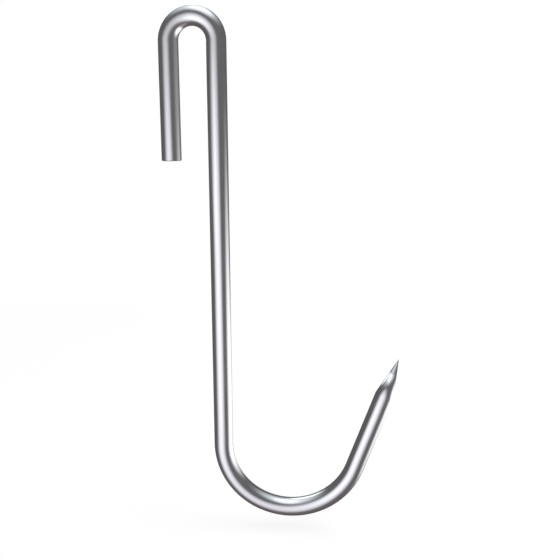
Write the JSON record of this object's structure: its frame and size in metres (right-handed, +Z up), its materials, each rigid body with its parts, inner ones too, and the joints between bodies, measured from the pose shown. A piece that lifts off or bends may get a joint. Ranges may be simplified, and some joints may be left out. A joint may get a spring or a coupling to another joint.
{
  "type": "j-hook",
  "caption": "Long J-hook of polished round bar: a hairpin top bend drops over a flat rail, a straight shank hangs down to an open J-bend with a ground conical point.",
  "frame": {"origin": "the seat on the rail: the highest point of the inside of the top bend, in the hook's middle plane", "axes": "+Z up as the hook hangs, +X from the short leg towards the shank, the J and its point, +Y square to the flat hook, away from someone who sees the short leg on the left"},
  "size_m": [0.1222, 0.01, 0.2684],
  "materials": {
    "stainless_steel": "polished"
  },
  "bodies": {
    "root": {"hook": "stainless_steel"}
  },
  "joints": []
}
